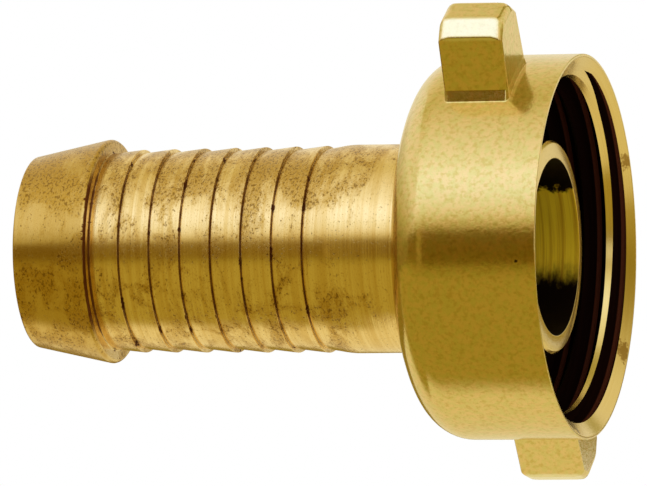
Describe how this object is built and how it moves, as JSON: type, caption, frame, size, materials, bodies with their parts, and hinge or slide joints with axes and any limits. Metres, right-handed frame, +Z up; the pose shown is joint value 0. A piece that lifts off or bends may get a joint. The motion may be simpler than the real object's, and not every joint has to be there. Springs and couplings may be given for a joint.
{
  "type": "claw hose coupling",
  "caption": "Brass hose coupling: a barbed hose tail with a through bore, a flat seal, and a loose union nut with internal pipe thread and opposite claws for a spanner.",
  "frame": {"origin": "on the axis of the waterway, in the seat plane: the seal's outer face, where the end of the mating pipe stops", "axes": "+X along the waterway towards the nut's mouth, -X towards the hose end; +Z up and +Y away from the viewer, with the upper claw leaning 28.5 degrees from +Z towards -Y at rest"},
  "size_m": [0.0524, 0.0355, 0.0442],
  "materials": {
    "turned_brass": "turned, fine tool marks, brown tarnish specks",
    "blasted_brass": "forged and blasted, fine satin grain",
    "seal_rubber": "matt moulded sheet"
  },
  "bodies": {
    "tail": {"hose_tail": "turned_brass", "flat_seal": "seal_rubber"},
    "nut": {"coupling_nut": "blasted_brass"}
  },
  "joints": [
    {"name": "nut_spin", "type": "hinge", "parent": "tail", "child": "nut", "pos_m": [0, 0, 0], "axis": [1, 0, 0], "continuous": true}
  ]
}
